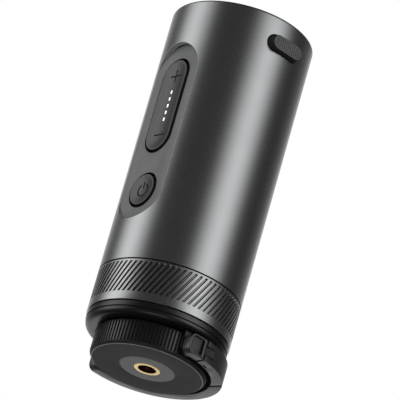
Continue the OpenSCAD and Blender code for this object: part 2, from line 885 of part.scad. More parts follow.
module hook_gate() {
    color("#606264") difference() {
        intersection() {
            hook_stock();
            gate_side(-gate_cut / 2);
            translate([0, gate_end_y, -5]) cube([60, 60, 30]);
        }
        barrel(knuckle_room_r, knuckle_z0 - move_gap / 2, knuckle_z1 + move_gap / 2);
        barrel(pin_r, hook_z0 + 0.3, hook_z0 + hook_h + 1);
        translate([0, 0, hook_mid - tongue_h / 2 - 0.2])
            cube([60, tongue_end + 0.25, tongue_h + 0.4]);
        gate_notch();
    }
}

// The small blind notch under the gate's free end
module gate_notch() {
    notch_r = hook_ri + notch_w;
    notch_a = asin((gate_end_y + 3) / notch_r);
    rotate([0, 0, notch_a]) translate([notch_r, 0, hook_z0 - 1]) {
        translate([-notch_w / 2, -(notch_len - notch_w) / 2, 0])
            cube([notch_w, notch_len - notch_w, 1 + notch_depth]);
        for (s = [-1, 1]) translate([0, s * (notch_len - notch_w) / 2, 0])
            cylinder(r = notch_w / 2, h = 1 + notch_depth);
    }
}

module gate_hinge_pin() {
    color("#8a8c8e") barrel(pin_r, hook_z0 + 0.35, hook_z0 + hook_h - 0.2);
}

body_tube();
control_panel();
tail_sleeve();
base_plate();
base_screws();
tube_seal();
outlet_plate();
outlet_screws();
outlet_nozzle();
intake_mesh();
fan_housing();
fan_cover();
motor_can();
motor_stator();
motor_bearings();
motor_screws();
battery_cells();
battery_tray();
battery_frame();
battery_contacts();
control_board();
board_screws();
tact_switches();
level_leds();
usb_socket();
usb_board();
hook_pivots();
grip_ring();
screw_cap();
cap_pad();
tripod_insert();
cap_seal();
hook_arc();
hook_nose();
hook_gate();
gate_hinge_pin();
level_rocker();
rocker_axle();
level_lights();
power_button();
port_plug();
impeller();
motor_shaft();
rotor_magnet();
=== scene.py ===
"""Visible pieces, finishes and studio of a pocket air pump, built round its frame."""
import json
import math

import bmesh
import bpy
from mathutils import Matrix, Vector


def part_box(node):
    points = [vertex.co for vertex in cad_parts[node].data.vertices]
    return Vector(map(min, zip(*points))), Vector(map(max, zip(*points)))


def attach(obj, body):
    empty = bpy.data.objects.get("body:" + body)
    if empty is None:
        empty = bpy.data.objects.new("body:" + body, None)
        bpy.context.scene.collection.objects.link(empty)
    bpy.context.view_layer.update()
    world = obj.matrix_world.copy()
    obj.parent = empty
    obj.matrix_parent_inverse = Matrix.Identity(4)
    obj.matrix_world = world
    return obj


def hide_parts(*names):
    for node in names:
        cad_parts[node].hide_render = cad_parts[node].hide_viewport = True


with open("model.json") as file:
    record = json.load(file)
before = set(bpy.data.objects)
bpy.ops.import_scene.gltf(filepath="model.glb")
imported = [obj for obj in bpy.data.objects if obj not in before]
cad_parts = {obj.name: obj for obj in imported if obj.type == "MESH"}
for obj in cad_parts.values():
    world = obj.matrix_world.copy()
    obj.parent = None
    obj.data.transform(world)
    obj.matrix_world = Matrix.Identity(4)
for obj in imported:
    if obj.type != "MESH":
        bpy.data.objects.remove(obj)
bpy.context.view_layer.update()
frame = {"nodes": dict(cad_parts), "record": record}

bl_info = {
    "name": "Pocket Air Pump",
    "version": (1, 0, 0),
    "blender": (4, 5, 0),
    "location": "View3D > Sidebar > Air Pump",
    "description": "Builds the visible pieces of a pocket air pump round its frame",
    "category": "Add Mesh",
}

MM = 0.001


def low(node, axis):
    """Lowest place of a frame node along an axis, in millimetres."""
    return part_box(node)[0][axis] / MM


def high(node, axis):
    """Highest place of a frame node along an axis, in millimetres."""
    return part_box(node)[1][axis] / MM


def mid(node, axis):
    """Middle of a frame node along an axis, in millimetres."""
    return (low(node, axis) + high(node, axis)) / 2


# ------------------------ sizes of the frame, in millimetres

BODY_R = high("body_tube", 1)
BORE_R = BODY_R - 1.5
TUBE_Z = low("body_tube", 2)
TOP_Z = high("body_tube", 2)
LIP_R = 16.6
PANEL_Y = -low("control_panel", 1)
PANEL_Z0 = low("control_panel", 2)
PANEL_Z1 = high("control_panel", 2)
PANEL_HW = high("control_panel", 0)
PANEL_MID = (PANEL_Z0 + PANEL_Z1) / 2
PANEL_HALF = (PANEL_Z1 - PANEL_Z0) / 2
ROCKER_Z = mid("level_rocker", 2)
ROCKER_HALF = high("level_rocker", 2) - ROCKER_Z
POWER_Z = mid("power_button", 2)
BUTTON_HW = high("level_rocker", 0)
RIM_Y = -low("level_rocker", 1)
BACK_Y = -high("level_rocker", 1)
RING_Z = low("grip_ring", 2)
RING_TOP = high("grip_ring", 2)
BASE_Z = 8.2
BASE_TOP = high("base_plate", 2)
BAND_R = high("base_plate", 1)
CAP_R = high("screw_cap", 1)
CAP_H = high("screw_cap", 2)
PAD_R = high("cap_pad", 1)
INSERT_R = high("tripod_insert", 1)
INSERT_H = high("tripod_insert", 2)
PORT_Z = mid("port_plug", 2)
FAN_Y = mid("outlet_nozzle", 1)
WALL_R = 15.5               # between the bores of the turned pieces and their outsides
LIP_T = 2.5                 # thickness of the tube's lip
FOOT_H = 0.32               # height of the recess round the tube's foot
SEAT_X = 20.52              # floor of the port plug's seat
PLATE_SCREW_R = 18.2        # circle of the outlet plate's screws
BASE_SCREW_R = 16.3         # circle of the base's screws
SCREW_TURNS = [math.radians(a) for a in (45, 135, 225, 315)]
DISH = 0.65                 # how far the middle of a button lies below its rim
DISH_RIM = 0.35             # width of the flat rim round the dish
DRAFT = 0.25                # how much narrower a button is at its rim, each side
SMALL_EDGE = 0.12           # rounding of the edges of the buttons, the panel and its window
LIGHT_PITCH = 2.25          # from one level light to the next
SIGN_HALF = 2.1             # half the length of the plus and the minus
PLUS_Z, MINUS_Z = 86.8, 67.3        # heights of the two signs
POST_X = 7.2                # board posts, either side of the panel's middle
CHEEK_X = (5.72, 6.82)      # inner and outer face of the axle's cheeks
RING_BORE_R = 19.45
INTAKE_R = 11.95            # circle of the intake slots
INTAKE_SLOTS = 18
CUT_Y = 21                  # how far in front of the axis the cutters start


# ------------------------ settings a user would change

class PumpSizes(bpy.types.PropertyGroup):
    """Sizes of the details that the frame leaves open."""

    grip_ribs: bpy.props.IntProperty(
        name="Grip ribs", description="Number of slanted ribs round the lock ring", default=80)
    grip_depth: bpy.props.FloatProperty(
        name="Grip depth", description="Depth of the grooves between the ribs",
        default=0.5 * MM, unit='LENGTH')
    grip_slant: bpy.props.FloatProperty(
        name="Grip slant", description="How far a rib leans round the ring from end to end",
        default=math.radians(13.9), unit='ROTATION')
    cap_teeth: bpy.props.IntProperty(
        name="Cap teeth", description="Number of knurl teeth round the screw cap", default=100)
    cap_depth: bpy.props.FloatProperty(
        name="Cap tooth depth", description="Depth of the grooves between the cap's teeth",
        default=0.45 * MM, unit='LENGTH')
    sign_width: bpy.props.FloatProperty(
        name="Sign width", description="Width of the engraved signs' strokes",
        default=0.46 * MM, unit='LENGTH')
    edge: bpy.props.FloatProperty(
        name="Edge", description="Rounding of the hook's edges", default=0.3 * MM, unit='LENGTH')


def colour(name, default, description):
    return bpy.props.FloatVectorProperty(
        name=name, description=description, default=default, size=3, min=0, max=1, subtype='COLOR')


class PumpColours(bpy.types.PropertyGroup):
    """Colours of the pump's finishes."""

    tube: colour("Tube", (0.42, 0.425, 0.43), "Anodised metal of the tube")
    ring: colour("Lock ring", (0.44, 0.445, 0.45), "Anodised metal of the ribbed ring")
    base: colour("Base", (0.08, 0.081, 0.083), "Dark metal of the base band")
    cap: colour("Screw cap", (0.085, 0.086, 0.088), "Dark metal of the screw cap")
    hook: colour("Hook", (0.14, 0.141, 0.144), "Dark metal of the hanging hook")
    pad: colour("Pad", (0.105, 0.105, 0.11), "Rubber of the inlaid pad")
    brass: colour("Brass", (0.85, 0.62, 0.28), "Metal of the tripod insert")
    panel: colour("Panel", (0.117, 0.119, 0.121), "Plastic of the control panel")
    button: colour("Buttons", (0.02, 0.0203, 0.021), "Plastic of the buttons")
    sign: colour("Signs", (0.005, 0.005, 0.0055), "Paint in the engraved signs")
    light: colour("Lights", (1.0, 1.0, 1.0), "Lit windows of the level lights")
    plug: colour("Port plug", (0.068, 0.069, 0.071), "Rubber of the port plug")


def sizes():
    return bpy.context.scene.pump_sizes


def colours():
    return bpy.context.scene.pump_colours


# ------------------------ working by hand in edit mode

def choose(*objs):
    """Leaves object mode's selection at these objects, the last of them active."""
    if bpy.context.mode != 'OBJECT':
        bpy.ops.object.mode_set(mode='OBJECT')
    bpy.ops.object.select_all(action='DESELECT')
    for obj in objs:
        obj.select_set(True)
        bpy.context.view_layer.objects.active = obj


def settle(obj):
    """Bakes an object's place, turn and scale into its mesh."""
    choose(obj)
    bpy.ops.object.transform_apply(location=True, rotation=True, scale=True)
    return obj


def named(name):
    """Names the object that was just added and bakes its place into its mesh."""
    obj = bpy.context.object
    obj.name = obj.data.name = name
    return settle(obj)


def edit(obj):
    choose(obj)
    bpy.ops.object.mode_set(mode='EDIT')
    bpy.ops.mesh.select_mode(type='VERT')


def leave():
    bpy.ops.object.mode_set(mode='OBJECT')


def pick(kind, test):
    """In edit mode, selects only the vertices, edges or faces that pass a test."""
    bpy.ops.mesh.select_mode(type=kind)
    bpy.ops.mesh.select_all(action='DESELECT')
    mesh = bpy.context.object.data
    bm = bmesh.from_edit_mesh(mesh)
    found = [item for item in {'VERT': bm.verts, 'EDGE': bm.edges, 'FACE': bm.faces}[kind]
             if test(item)]
    for item in found:
        item.select_set(True)
    bm.select_flush_mode()
    bmesh.update_edit_mesh(mesh)
    if not found:
        raise RuntimeError(f"{bpy.context.object.name}: nothing to select")


def tidy_shell():
    """In edit mode, merges doubles and turns every face outwards."""
    bpy.ops.mesh.select_all(action='SELECT')
    bpy.ops.mesh.remove_doubles(threshold=2e-6)
    bpy.ops.mesh.normals_make_consistent(inside=False)


def rounded(corners, steps=5):
    """Turns corners (radius, height, rounding) into outline points with arcs at the roundings."""
    points = []
    count = len(corners)
    for i, corner in enumerate(corners):
        here = Vector(corner[:2])
        radius = corner[2] if len(corner) > 2 else 0
        if not radius:
            points.append(here)
            continue
        before = (Vector(corners[i - 1][:2]) - here).normalized()
        after = (Vector(corners[(i + 1) % count][:2]) - here).normalized()
        half = before.angle(after) / 2
        middle = here + (before + after).normalized() * radius / math.sin(half)
        first = here + before * radius / math.tan(half) - middle
        last = here + after * radius / math.tan(half) - middle
        sweep = first.angle_signed(last)
        for k in range(steps + 1):
            turn = Matrix.Rotation(-sweep * k / steps, 2)
            points.append(middle + turn @ first)
    return points


def lathe(name, corners, around=192, steps=5, lean=None, closed=True):
    """Draws an outline by pulling out one vertex after another and spins it round Z.
    lean gives the angle by which each height's vertex is turned ahead."""
    flat = rounded(corners, steps)
    if closed:
        flat.append(flat[0])
    points = []
    for r, z in flat:
        angle = lean(z) if lean else 0
        points.append(Vector((r * math.cos(angle), r * math.sin(angle), z)) * MM)
    choose()
    bpy.ops.mesh.primitive_plane_add(size=MM)
    obj = named(name)
    edit(obj)
    bpy.ops.mesh.select_all(action='SELECT')
    bpy.ops.mesh.merge(type='CENTER')
    bpy.ops.transform.translate(value=points[0])
    for a, b in zip(points, points[1:]):
        bpy.ops.mesh.extrude_vertices_move(TRANSFORM_OT_translate={"value": b - a})
    bpy.ops.mesh.select_all(action='SELECT')
    bpy.ops.mesh.spin(steps=around, angle=2 * math.pi, center=(0, 0, 0), axis=(0, 0, 1))
    tidy_shell()
    leave()
    return obj


def pill(name, half_width, half_length, depth0, depth1, height, facing='-Y', around=96):
    """A stadium-shaped block, standing if it faces -Y and lying if it faces +X.
    It reaches from depth0 to depth1 along the way it faces."""
    choose()
    half_step = math.pi / around
    bpy.ops.mesh.primitive_cylinder_add(
        vertices=around, radius=half_width * MM, depth=(depth1 - depth0) * MM,
        rotation=(math.pi / 2, half_step, 0))
    obj = named(name)
    if half_length > half_width:
        edit(obj)
        pick('VERT', lambda v: v.co.z < 0)
        bpy.ops.transform.translate(value=(0, 0, -2 * (half_length - half_width) * MM))
        bpy.ops.mesh.select_all(action='SELECT')
        bpy.ops.transform.translate(value=(0, 0, (half_length - half_width) * MM))
        leave()
    middle = (depth0 + depth1) / 2 * MM
    if facing == '-Y':
        obj.location = (0, -middle, height * MM)
    else:
        obj.matrix_world = Matrix((
            (0, 1, 0, middle), (0, 0, 1, 0), (1, 0, 0, height * MM), (0, 0, 0, 1)))
    return settle(obj)


def block(name, x, y, z):
    """A plain block between two places on each axis, in millimetres, for cutting and joining."""
    choose()
    bpy.ops.mesh.primitive_cube_add(size=1)
    obj = bpy.context.object
    obj.scale = [(b - a) * MM for a, b in (x, y, z)]
    obj.location = [(a + b) / 2 * MM for a, b in (x, y, z)]
    return named(name)


def post(name, radius, z0, z1, x=0, y=0, around=48):
    """A plain post along Z, for cutting and joining."""
    choose()
    bpy.ops.mesh.primitive_cylinder_add(
        vertices=around, radius=radius * MM, depth=(z1 - z0) * MM,
        location=(x * MM, y * MM, (z0 + z1) / 2 * MM))
    return named(name)


def copies(obj, places):
    """Copies an object with its mesh to each turn round Z or each shift, and joins them all."""
    made = []
    for place in places:
        choose(obj)
        bpy.ops.object.duplicate()
        twin = bpy.context.object
        if isinstance(place, (int, float)):
            twin.rotation_euler = (0, 0, place)
        else:
            twin.location = Vector(place) * MM
        made.append(settle(twin))
    bpy.data.objects.remove(obj)
    choose(*made)
    bpy.ops.object.join()
    return bpy.context.object


def modify(obj, kind, **values):
    """Adds a modifier to an object, sets it up and applies it."""
    choose(obj)
    bpy.ops.object.modifier_add(type=kind)
    mod = obj.modifiers[-1]
    for key, value in values.items():
        setattr(mod, key, value)
    bpy.ops.object.modifier_apply(modifier=mod.name)


def carve(obj, *tools, join=False):
    """Cuts the tools out of an object, or joins them to it, and removes them."""
    for tool in tools:
        modify(obj, 'BOOLEAN', operation='UNION' if join else 'DIFFERENCE', solver='EXACT',
               material_mode='TRANSFER', object=tool)
        bpy.data.objects.remove(tool)


def soften(obj, width, test=None, segments=3, angle=40):
    """Rounds the edges that pass a test, or every edge sharper than an angle."""
    if test:
        edit(obj)
        pick('EDGE', test)
        bpy.ops.mesh.bevel(offset=width * MM, segments=segments, affect='EDGES')
        leave()
    else:
        modify(obj, 'BEVEL', width=width * MM, segments=segments, limit_method='ANGLE',
               angle_limit=math.radians(angle))


def paint(obj, finish, test):
    """Gives the faces that pass a test another finish."""
    obj.data.materials.append(finish)
    obj.active_material_index = len(obj.data.materials) - 1
    edit(obj)
    pick('FACE', test)
    bpy.ops.object.material_slot_assign()
    leave()


def piece(obj, body, slot, *nodes, angle=35):
    """Gives a finished piece its shading and body, and hides the frame nodes it stands for.
    It also gets its slot's finish, if it has none yet."""
    if not obj.data.materials:
        obj.data.materials.append(FINISHES[SLOT_FINISH[slot]])
    choose(obj)
    bpy.ops.object.shade_smooth_by_angle(angle=math.radians(angle))
    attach(obj, body)
    if nodes:
        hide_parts(*nodes)


def from_frame(node, name):
    """Copies a frame node's mesh, merged into clean flat faces, to round its edges."""
    source = frame["nodes"][node]
    choose()
    mesh = source.data.copy()
    obj = bpy.data.objects.new(name, mesh)
    bpy.context.scene.collection.objects.link(obj)
    for key in list(obj.keys()):
        del obj[key]
    mesh.materials.clear()
    edit(obj)
    bpy.ops.mesh.select_all(action='SELECT')
    bpy.ops.mesh.remove_doubles(threshold=2e-6)
    bpy.ops.mesh.dissolve_limited(angle_limit=math.radians(0.5))
    leave()
    return obj


# ------------------------ finishes

class Graph:
    """The node tree of a material, lamp or world, filled one node at a time."""

    def __init__(self, owner):
        owner.use_nodes = True
        self.tree = owner.node_tree
        self.tree.nodes.clear()

    def add(self, kind, **values):
        node = self.tree.nodes.new(kind)
        for key, value in values.items():
            if hasattr(node, key):
                setattr(node, key, value)
            else:
                node.inputs[key.replace("_", " ")].default_value = value
        return node

    def link(self, source, target):
        self.tree.links.new(source, target)

    def calc(self, operation, *values):
        """A sum on two values, each a number or the output of a node."""
        node = self.add('ShaderNodeMath', operation=operation)
        for socket, value in zip(node.inputs, values):
            if isinstance(value, bpy.types.NodeSocket):
                self.link(value, socket)
            else:
                socket.default_value = value
        return node.outputs[0]

    def blend(self, share, first, second):
        """Mixes two shaders: the share is how much of the second shows."""
        node = self.add('ShaderNodeMixShader')
        for socket, source in zip(node.inputs, (share, first, second)):
            self.link(source, socket)
        return node.outputs[0]


def surface(name, colour, metallic=0.0, roughness=0.5, spread=0.08, grain=2600, bump=0.0,
            tint=0.08, patch=160, stretch=(1, 1, 1), coat=0.0, emit=0.0, ior=1.45):
    """A finish with fine grain in its gloss and relief, and slow patches in its colour."""
    material = bpy.data.materials.new(name)
    g = Graph(material)
    out = g.add('ShaderNodeOutputMaterial')
    shader = g.add('ShaderNodeBsdfPrincipled', Metallic=metallic, IOR=ior, Coat_Weight=coat)
    g.link(shader.outputs[0], out.inputs["Surface"])
    place = g.add('ShaderNodeTexCoord')
    mapping = g.add('ShaderNodeMapping', Scale=stretch)
    g.link(place.outputs["Object"], mapping.inputs["Vector"])
    fine = g.add('ShaderNodeTexNoise', Scale=grain, Detail=2.0)
    g.link(mapping.outputs[0], fine.inputs["Vector"])
    slow = g.add('ShaderNodeTexNoise', Scale=patch, Detail=3.0)
    g.link(place.outputs["Object"], slow.inputs["Vector"])
    gloss = g.add('ShaderNodeMapRange', To_Min=max(roughness - spread, 0.02),
                  To_Max=min(roughness + spread, 1.0))
    g.link(fine.outputs["Fac"], gloss.inputs["Value"])
    g.link(gloss.outputs[0], shader.inputs["Roughness"])
    shade = g.add('ShaderNodeMapRange', From_Min=0.3, From_Max=0.7)
    g.link(slow.outputs["Fac"], shade.inputs["Value"])
    mix = g.add('ShaderNodeMix', data_type='RGBA')
    g.link(shade.outputs[0], mix.inputs[0])
    mix.inputs[6].default_value = (*[c * (1 - tint) for c in colour], 1)
    mix.inputs[7].default_value = (*[min(c * (1 + tint), 1) for c in colour], 1)
    g.link(mix.outputs[2], shader.inputs["Base Color"])
    if bump:
        relief = g.add('ShaderNodeBump', Distance=bump * MM)
        g.link(fine.outputs["Fac"], relief.inputs["Height"])
        g.link(relief.outputs[0], shader.inputs["Normal"])
    if emit:
        shader.inputs["Emission Color"].default_value = (*colour, 1)
        shader.inputs["Emission Strength"].default_value = emit
    return material


FINISHES = {}


def make_finishes():
    """Makes every finish, from the colours in the sidebar."""
    c = colours()
    metal = dict(metallic=1.0, bump=0.0005, grain=4200)
    FINISHES.update(
        tube=surface("satin_tube_metal", c.tube, roughness=0.28, spread=0.04, tint=0.02, **metal),
        ring=surface("satin_ring_metal", c.ring, roughness=0.28, spread=0.05, tint=0.03,
                     stretch=(1, 1, 0.2), **metal),
        # painted shade: the floors of the ring's grooves get a darker metal than the ring
        ring_floor=surface("ring_floor_painted_shade", (0.3, 0.302, 0.306), roughness=0.4, spread=0.05,
                           **metal),
        # painted shade: near-black metal for one wall of each groove in the ring
        ring_groove=surface("ring_groove_painted_shade", (0.05, 0.05, 0.052), roughness=0.4, spread=0.05,
                            **metal),
        base=surface("dark_base_metal", c.base, roughness=0.32, spread=0.05, tint=0.04, **metal),
        cap=surface("dark_cap_metal", c.cap, roughness=0.34, spread=0.05, **metal),
        # painted highlight: a lighter grey for the chamfer round the cap's face
        cap_rim=surface("cap_rim_painted_highlight", (0.12, 0.121, 0.123), roughness=0.45, bump=0.002),
        cap_face=surface("cap_face_matt", (0.028, 0.0285, 0.029), roughness=0.75, ior=1.35,
                         bump=0.004),
        # painted shade: near-black for the knurl's grooves and the cap's lower chamfer
        cap_groove=surface("cap_groove_painted_shade", (0.008, 0.008, 0.008), roughness=0.6),
        hook=surface("dark_hook_metal", c.hook, roughness=0.42, spread=0.06, tint=0.05, **metal),
        # painted shade: a brass far darker than the insert's, for the inside of its bore
        bore=surface("brass_bore_painted_shade", (0.12, 0.045, 0.02), metallic=1.0, roughness=0.4),
        pad=surface("pad_rubber_matt", c.pad, roughness=0.7, spread=0.1, bump=0.01),
        brass=surface("tapped_brass", c.brass, metallic=0.6, roughness=0.34, spread=0.08,
                      grain=1800, bump=0.004),
        panel=surface("panel_plastic_fine", c.panel, roughness=0.48, spread=0.08, bump=0.006),
        # painted light: a lighter grey than the tube, so that the window's walls read as lit
        window=surface("window_wall_painted_light", (0.17, 0.172, 0.175), roughness=0.5, bump=0.004),
        button=surface("button_plastic_satin", c.button, roughness=0.33, spread=0.05, ior=1.75,
                       bump=0.001),
        # painted shade: near-black for the side walls of the buttons and of their holes
        button_side=surface("button_side_painted_shade", (0.006, 0.006, 0.006), roughness=0.6),
        sign=surface("sign_paint", c.sign, roughness=0.6, spread=0.1),
        light=surface("lit_window", c.light, roughness=0.3, spread=0.05, emit=1.0, tint=0.01),
        plug=surface("plug_rubber_matt", c.plug, roughness=0.55, spread=0.1, bump=0.01),
        # painted shade: near-black for the plug's sides, the port seat, the recess round the
        # tube's foot and the base's grooves
        plug_side=surface("plug_side_dark", (0.006, 0.006, 0.006), roughness=0.7),
        black=surface("matt_black_plastic", (0.03, 0.03, 0.032), roughness=0.5, bump=0.01),
        seal=surface("seal_rubber_black", (0.015, 0.015, 0.015), roughness=0.6, bump=0.01),
        steel=surface("bright_steel", (0.6, 0.6, 0.61), metallic=1.0, roughness=0.25, bump=0.003),
        fan=surface("off_white_plastic", (0.62, 0.62, 0.58), roughness=0.45, bump=0.004),
        copper=surface("lacquered_windings", (0.7, 0.3, 0.12), metallic=1.0, roughness=0.3,
                       grain=900, stretch=(1, 1, 6), bump=0.05),
        wrap=surface("cell_shrink_wrap", (0.02, 0.13, 0.36), roughness=0.3, coat=0.3, bump=0.002),
        board=surface("board_solder_mask", (0.01, 0.09, 0.04), roughness=0.3, coat=0.4, tint=0.2,
                      patch=700, bump=0.004),
    )


SLOT_FINISH = {
    "tube_metal": "tube", "ring_metal": "ring", "base_metal": "base", "cap_metal": "cap",
    "hook_metal": "hook", "pad_rubber": "pad", "insert_brass": "brass", "panel_plastic": "panel",
    "button_plastic": "button", "light_plastic": "light", "plug_rubber": "plug",
    "black_plastic": "black", "seal_rubber": "seal", "steel": "steel", "fan_plastic": "fan",
    "copper_wire": "copper", "cell_wrap": "wrap", "board_green": "board",
}
NODE_FINISH = {"rocker_axle": "black", "base_screws": "base"}     # instead of their slots' own


# ------------------------ operators, one for each piece

class PumpPiece:
    """What every operator of the pump shares."""

    bl_options = {'REGISTER'}


class PUMP_OT_stage(PumpPiece, bpy.types.Operator):
    """Sets the floor, the soft lights, the surroundings and the camera"""

    bl_idname = "pump.stage"
    bl_label = "Stage"

    def execute(self, context):
        scene = context.scene
        scene.view_settings.view_transform = 'Standard'
        self.camera(scene)
        self.lamp("left_softbox", -122, 12, 1.0, 1.8, 1.6, 13.2, 4.7)
        self.lamp("right_softbox", 10, 12, 1.0, 1.8, 1.6, 12.4, 4.7)
        self.lamp("low_fill", -50, -50, 1.1, 0.9, 0.6, 1.0, 1.0)
        self.surroundings(scene)
        self.floor()
        return {'FINISHED'}

    def camera(self, scene):
        """A long lens, low in front of the pump's right side, tipped to lean the pump over."""
        azimuth, elevation, roll = (math.radians(v) for v in (53.3, -23.125, 16.028))
        side = Vector((math.cos(azimuth), math.sin(azimuth), 0))
        aside, height, away = 1.394, 55.456, 1712.36
        raised, shifted = 0.44, 0.045
        target = side * aside * MM + Vector((0, 0, height * MM))
        back = Vector((math.sin(azimuth) * math.cos(elevation),
                       -math.cos(azimuth) * math.cos(elevation), math.sin(elevation)))
        up = back.cross(side)
        right = side * math.cos(roll) + up * math.sin(roll)
        top = up * math.cos(roll) - side * math.sin(roll)
        target += (top * raised - right * shifted) * MM
        place = Matrix((right, top, back)).transposed().to_4x4()
        place.translation = target + back * (away * MM)
        choose()
        bpy.ops.object.camera_add()
        camera = bpy.context.object
        camera.name = "camera"
        camera.matrix_world = place
        camera.data.lens = 525.4
        camera.data.sensor_width = 36
        camera.data.dof.use_dof = False
        scene.camera = camera

    def lamp(self, name, azimuth, elevation, distance, width, height, power, falloff):
        """A softbox that faces the pump's middle and dims from its centre to its edges."""
        a, e = math.radians(azimuth), math.radians(elevation)
        outward = Vector((math.cos(a) * math.cos(e), math.sin(a) * math.cos(e), math.sin(e)))
        choose()
        bpy.ops.object.light_add(type='AREA')
        lamp = bpy.context.object
        lamp.name = name
        lamp.data.shape = 'RECTANGLE'
        lamp.data.size = width
        lamp.data.size_y = height
        lamp.data.energy = power
        lamp.location = outward * distance + Vector((0, 0, 55 * MM))
        lamp.rotation_euler = outward.to_track_quat('Z', 'Y').to_euler()
        g = Graph(lamp.data)
        out = g.add('ShaderNodeOutputLight')
        glow = g.add('ShaderNodeEmission')
        place = g.add('ShaderNodeNewGeometry')
        split = g.add('ShaderNodeSeparateXYZ')
        g.link(place.outputs["Parametric"], split.inputs[0])
        both = g.calc('MULTIPLY', self.hump(g, split.outputs["X"], falloff),
                      self.hump(g, split.outputs["Y"], 0.6))
        g.link(both, glow.inputs["Strength"])
        g.link(glow.outputs[0], out.inputs["Surface"])

    def hump(self, g, place, falloff):
        """A value that is 1 in the middle of the lamp and 0 at its edges."""
        arch = g.calc('MULTIPLY', place, g.calc('SUBTRACT', 1, place))
        return g.calc('POWER', g.calc('MULTIPLY', arch, 4), falloff)

    def surroundings(self, scene):
        """White behind the pump for the camera and in gloss from there, a dark room elsewhere."""
        world = bpy.data.worlds.new("studio")
        scene.world = world
        g = Graph(world)
        out = g.add('ShaderNodeOutputWorld')
        path = g.add('ShaderNodeLightPath')
        place = g.add('ShaderNodeTexCoord')
        seen = g.add('ShaderNodeBackground', Color=(1, 1, 1, 1), Strength=1.0)
        soft = g.add('ShaderNodeBackground', Color=(1, 1, 1, 1), Strength=0.85)
        gloss = g.add('ShaderNodeBackground', Strength=1.0)
        backdrop = math.radians(143.3)
        toward = g.add('ShaderNodeVectorMath', operation='DOT_PRODUCT')
        toward.inputs[1].default_value = (math.cos(backdrop), math.sin(backdrop), 0)
        g.link(place.outputs["Generated"], toward.inputs[0])
        ramp = g.add('ShaderNodeValToRGB')
        stops = ramp.color_ramp.elements
        stops[0].position, stops[1].position = 0.35, 0.95
        for position, level in ((0.35, 0.02), (0.65, 0.12), (0.80, 0.34), (0.95, 1.0)):
            stop = next((e for e in stops if abs(e.position - position) < 0.01), None)
            (stop or stops.new(position)).color = (level, level, level, 1)
        g.link(toward.outputs["Value"], ramp.inputs["Fac"])
        g.link(ramp.outputs["Color"], gloss.inputs["Color"])
        lit = g.blend(path.outputs["Is Glossy Ray"], soft.outputs[0], gloss.outputs[0])
        white = g.calc('MAXIMUM', path.outputs["Is Camera Ray"],
                       path.outputs["Is Transmission Ray"])
        g.link(g.blend(white, lit, seen.outputs[0]), out.inputs["Surface"])

    def floor(self):
        """A pale floor, seen and shadowed from above and clear to light and sight from below."""
        choose()
        bpy.ops.mesh.primitive_plane_add(size=6)
        floor = bpy.context.object
        floor.name = "floor"
        floor.location.z = -0.2 * MM
        material = bpy.data.materials.new("pale_floor")
        g = Graph(material)
        out = g.add('ShaderNodeOutputMaterial')
        path = g.add('ShaderNodeLightPath')
        shape = g.add('ShaderNodeNewGeometry')
        pale = g.add('ShaderNodeBsdfDiffuse', Color=(0.88, 0.88, 0.88, 1))
        clear = g.add('ShaderNodeBsdfTransparent')
        front = g.calc('SUBTRACT', 1, shape.outputs["Backfacing"])
        shown = g.calc('MULTIPLY', path.outputs["Is Camera Ray"], front)
        g.link(g.blend(shown, clear.outputs[0], pale.outputs[0]), out.inputs["Surface"])
        floor.data.materials.append(material)


def is_side(face):
    """Whether a face stands square to the fronts of the panel and the buttons."""
    return abs(face.normal.y) < 0.1


def pill_edge(v, half_width, half_length, middle, slack=0.03):
    """Whether a vertex lies on a standing stadium's outline."""
    x, z = v.co.x / MM, v.co.z / MM - middle
    straight = half_length - half_width
    away = math.hypot(x, max(abs(z) - straight, 0))
    return abs(away - half_width) < slack


def radius_of(v):
    """A vertex's distance from the Z axis, in millimetres."""
    return math.hypot(v.co.x, v.co.y) / MM


def centre(face):
    """The middle of a face, in millimetres."""
    return face.calc_center_median() / MM


def radius_of_face(face):
    return face.calc_center_median().xy.length / MM


